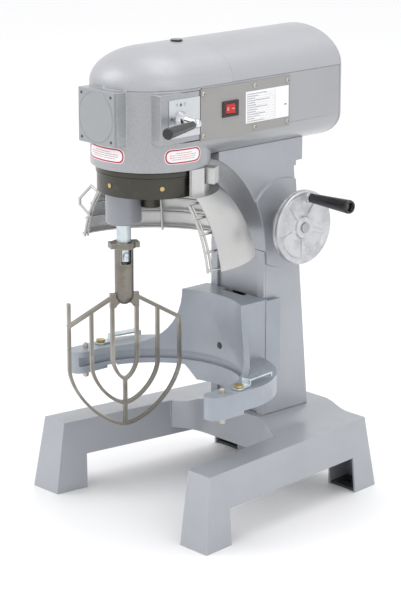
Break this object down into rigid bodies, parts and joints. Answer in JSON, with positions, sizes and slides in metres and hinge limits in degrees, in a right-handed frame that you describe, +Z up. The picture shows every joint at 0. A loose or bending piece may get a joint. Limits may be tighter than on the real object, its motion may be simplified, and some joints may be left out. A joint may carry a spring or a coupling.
{
  "type": "stand mixer",
  "caption": "Bench planetary mixer: splayed base, column with bowl lift, gear head with motor, splash guard and flat beater.",
  "frame": {"origin": "on the floor under the middle of the overall box", "axes": "+Z up, the bowl side faces -Y, the handwheel side is +X"},
  "size_m": [0.36, 0.3943, 0.6415],
  "materials": {
    "silver_paint": "smooth grey-silver metallic enamel",
    "hammer_paint": "silver hammer-finish enamel on casting",
    "carriage_paint": "pale blue-grey enamel on casting",
    "dark_steel": "dark oiled steel",
    "stainless": "brushed stainless sheet and wire",
    "gear_steel": "machined steel",
    "screw_steel": "bright plated screws and pins",
    "zinc_plate": "bright zinc plate",
    "brass_parts": "brass",
    "cast_aluminium": "as-cast aluminium, polished rim",
    "black_plastic": "black plastic",
    "red_plastic": "red translucent-look rocker",
    "panel_grey": "warm grey printed panel",
    "plate_metal": "satin dial plate",
    "label_film": "printed film",
    "motor_paint": "dark motor enamel",
    "fan_plastic": "moulded fan"
  },
  "bodies": {
    "frame": {"base_frame": "silver_paint", "foot_plates": "silver_paint", "column": "silver_paint", "guide_ways": "silver_paint", "back_cover": "silver_paint", "gear_housing": "hammer_paint", "hub_cover": "hammer_paint", "hub_cover_screws": "screw_steel", "front_top_cover": "silver_paint", "motor_cover": "silver_paint", "oil_plug": "black_plastic", "rear_cap": "silver_paint", "cover_screws": "screw_steel", "cable_gland": "black_plastic", "control_panel": "panel_grey", "panel_screws": "screw_steel", "switch_bezel": "black_plastic", "speed_plate": "plate_metal", "labels": "label_film", "motor_stator": "motor_paint", "motor_cradle": "silver_paint", "gear_plate": "silver_paint", "bearing_pedestal": "silver_paint", "drive_bearings": "gear_steel", "ring_gear": "dark_steel", "ring_screws": "brass_parts", "splash_shield": "stainless", "guard_switch": "black_plastic", "lift_bearings": "brass_parts"},
    "planet": {"planet_hub": "carriage_paint", "main_shaft": "dark_steel", "bevel_gear": "gear_steel"},
    "agitator": {"beater_shaft": "zinc_plate", "planet_pinion": "gear_steel", "beater": "stainless"},
    "motor": {"motor_rotor": "gear_steel", "cooling_fan": "fan_plastic", "motor_pinion": "gear_steel"},
    "cross": {"cross_shaft": "gear_steel", "cross_gear": "gear_steel", "bevel_pinion": "gear_steel"},
    "guard": {"wire_guard": "stainless", "guard_carrier": "stainless"},
    "wheel": {"handwheel": "cast_aluminium", "wheel_shaft": "gear_steel", "wheel_mitre": "gear_steel", "crank_spindle": "screw_steel"},
    "grip": {"crank_grip": "black_plastic"},
    "screw": {"lead_screw": "gear_steel", "screw_mitre": "gear_steel"},
    "carriage": {"bowl_carriage": "carriage_paint", "bowl_pins": "screw_steel", "carriage_gibs": "brass_parts", "lift_nut": "brass_parts", "latch_screws": "brass_parts"},
    "left_latch": {"latch_left": "zinc_plate"},
    "right_latch": {"latch_right": "zinc_plate"},
    "speed_selector": {"speed_lever": "screw_steel", "speed_grip": "black_plastic"},
    "rocker": {"switch_rocker": "red_plastic"}
  },
  "joints": [
    {"name": "planet_spin", "type": "hinge", "parent": "frame", "child": "planet", "pos_m": [0, -0.096, 0.45], "axis": [0, 0, 1], "continuous": true},
    {"name": "agitator_spin", "type": "hinge", "parent": "planet", "child": "agitator", "pos_m": [-0.02409, -0.12275, 0.4], "axis": [0, 0, 1], "continuous": true},
    {"name": "cross_shaft_spin", "type": "hinge", "parent": "frame", "child": "cross", "pos_m": [0, -0.036, 0.5315], "axis": [0, 1, 0], "continuous": true},
    {"name": "motor_spin", "type": "hinge", "parent": "frame", "child": "motor", "pos_m": [0, 0.054, 0.572], "axis": [0, 1, 0], "continuous": true},
    {"name": "guard_swing", "type": "hinge", "parent": "frame", "child": "guard", "pos_m": [0, -0.096, 0.48], "axis": [0, 0, 1], "range_deg": [0, 172]},
    {"name": "handwheel_turn", "type": "hinge", "parent": "frame", "child": "wheel", "pos_m": [0.06, 0.095, 0.381], "axis": [1, 0, 0], "range_deg": [0, 3600]},
    {"name": "crank_grip_spin", "type": "hinge", "parent": "wheel", "child": "grip", "pos_m": [0.1, 0.105, 0.42076], "axis": [1, 0, 0], "continuous": true},
    {"name": "lead_screw_spin", "type": "hinge", "parent": "frame", "child": "screw", "pos_m": [0, 0.095, 0.2], "axis": [0, 0, 1], "range_deg": [0, 3600]},
    {"name": "carriage_lift", "type": "slide", "parent": "frame", "child": "carriage", "axis": [0, 0, 1], "range_m": [0, 0.06]},
    {"name": "left_latch_swing", "type": "hinge", "parent": "carriage", "child": "left_latch", "pos_m": [-0.141, -0.068, 0.199], "axis": [0, 0, 1], "range_deg": [0, 165]},
    {"name": "right_latch_swing", "type": "hinge", "parent": "carriage", "child": "right_latch", "pos_m": [0.141, -0.068, 0.199], "axis": [0, 0, 1], "range_deg": [-165, 0]},
    {"name": "speed_lever_turn", "type": "hinge", "parent": "frame", "child": "speed_selector", "pos_m": [0.08, -0.1145, 0.556], "axis": [1, 0, 0], "range_deg": [-30, 30]},
    {"name": "switch_rocker_tilt", "type": "hinge", "parent": "frame", "child": "rocker", "pos_m": [0.0769, -0.029, 0.558], "axis": [0, 0, 1], "range_deg": [0, 12]}
  ],
  "couplings": [
    {"joint": "agitator_spin", "follows": "planet_spin", "ratio": -2.5},
    {"joint": "cross_shaft_spin", "follows": "planet_spin", "ratio": 2},
    {"joint": "motor_spin", "follows": "planet_spin", "ratio": -5.2},
    {"joint": "handwheel_turn", "follows": "carriage_lift", "rad_per_m": 1047.2},
    {"joint": "lead_screw_spin", "follows": "carriage_lift", "rad_per_m": 1047.2}
  ]
}
